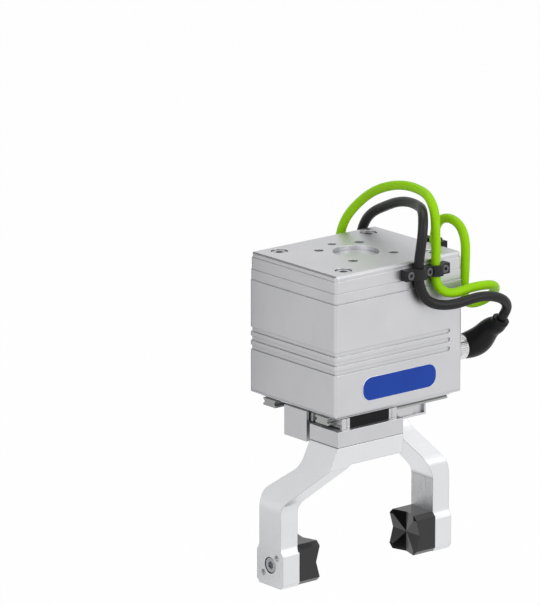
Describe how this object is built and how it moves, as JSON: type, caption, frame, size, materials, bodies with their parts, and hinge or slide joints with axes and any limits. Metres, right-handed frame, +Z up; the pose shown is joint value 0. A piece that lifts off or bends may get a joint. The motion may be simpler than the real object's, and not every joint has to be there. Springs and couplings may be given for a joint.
{
  "type": "parallel gripper",
  "caption": "Long-stroke parallel gripper: boxy aluminium body, offset sliding jaws with cranked fingers and grooved pads, clamped leads at the side.",
  "frame": {"origin": "centre of the top mounting face, where the robot flange seats", "axes": "+Z up out of the mounting face, fingers down; X along the jaw travel; badge on the -Y face"},
  "size_m": [0.1646, 0.1253, 0.2629],
  "materials": {
    "body_aluminium": "fine satin anodised",
    "finger_aluminium": "bright milled",
    "steel": "ground",
    "screw_steel": "zinc plated",
    "nickel": "nickel plated, knurled",
    "black_plastic": "moulded",
    "clamp_plastic": "moulded",
    "pad_rubber": "moulded polyurethane",
    "wiper_rubber": "moulded",
    "gasket_rubber": "sheet",
    "badge_blue": "smooth",
    "black_jacket": "extruded",
    "green_jacket": "extruded",
    "motor_black": "powder coated",
    "gear_brass": "hobbed",
    "board_green": "solder mask",
    "nylon": "moulded"
  },
  "bodies": {
    "housing": {"adapter_plate": "body_aluminium", "housing_cover": "body_aluminium", "cover_gasket": "gasket_rubber", "housing": "body_aluminium", "base_plate": "body_aluminium", "guide_rails": "steel", "centre_guide": "body_aluminium", "cover_screws": "screw_steel", "m3_screws": "screw_steel", "gear_carrier": "body_aluminium", "motor_body": "motor_black", "motor_screws": "screw_steel", "pinion_bearings": "steel", "control_board": "board_green", "board_standoffs": "nylon", "power_socket": "nickel", "data_socket": "nickel", "badge": "badge_blue", "cable_clamp": "clamp_plastic", "side_clamp": "clamp_plastic", "clamp_screws": "screw_steel", "power_nut": "nickel", "power_plug": "black_plastic", "data_nut": "nickel", "data_plug": "black_plastic", "power_lead": "black_jacket", "data_lead": "green_jacket", "power_connector": "black_plastic", "data_connector": "black_plastic"},
    "left_jaw": {"left_carriage": "steel", "left_end_caps": "steel", "left_wipers": "wiper_rubber", "left_panel": "black_plastic", "left_base_jaw": "body_aluminium", "left_jaw_screws": "screw_steel", "left_rack": "steel", "left_rack_screws": "screw_steel", "left_finger": "finger_aluminium", "left_pad": "pad_rubber", "left_pad_screw": "screw_steel", "left_pad_pins": "steel"},
    "right_jaw": {"right_carriage": "steel", "right_end_caps": "steel", "right_wipers": "wiper_rubber", "right_panel": "black_plastic", "right_base_jaw": "body_aluminium", "right_jaw_screws": "screw_steel", "right_rack": "steel", "right_rack_screws": "screw_steel", "right_finger": "finger_aluminium", "right_pad": "pad_rubber", "right_pad_screw": "screw_steel", "right_pad_pins": "steel"},
    "pinion": {"pinion_shaft": "steel", "pinion": "steel", "drive_gear": "steel"},
    "motor_rotor": {"motor_rotor": "steel", "motor_gear": "gear_brass"}
  },
  "joints": [
    {"name": "left_jaw_slide", "type": "slide", "parent": "housing", "child": "left_jaw", "axis": [1, 0, 0], "range_m": [0, 0.0425]},
    {"name": "right_jaw_slide", "type": "slide", "parent": "housing", "child": "right_jaw", "axis": [-1, 0, 0], "range_m": [0, 0.0425]},
    {"name": "pinion_spin", "type": "hinge", "parent": "housing", "child": "pinion", "pos_m": [0, 0, -0.1], "axis": [0, 0, 1], "range_deg": [0, 271]},
    {"name": "motor_spin", "type": "hinge", "parent": "housing", "child": "motor_rotor", "pos_m": [0.0228, 0, -0.08], "axis": [0, 0, 1], "range_deg": [-637.5, 0]}
  ],
  "couplings": [
    {"joint": "right_jaw_slide", "follows": "left_jaw_slide", "ratio": 1},
    {"joint": "pinion_spin", "follows": "left_jaw_slide", "rad_per_m": 111.11},
    {"joint": "motor_spin", "follows": "left_jaw_slide", "rad_per_m": -261.44}
  ]
}
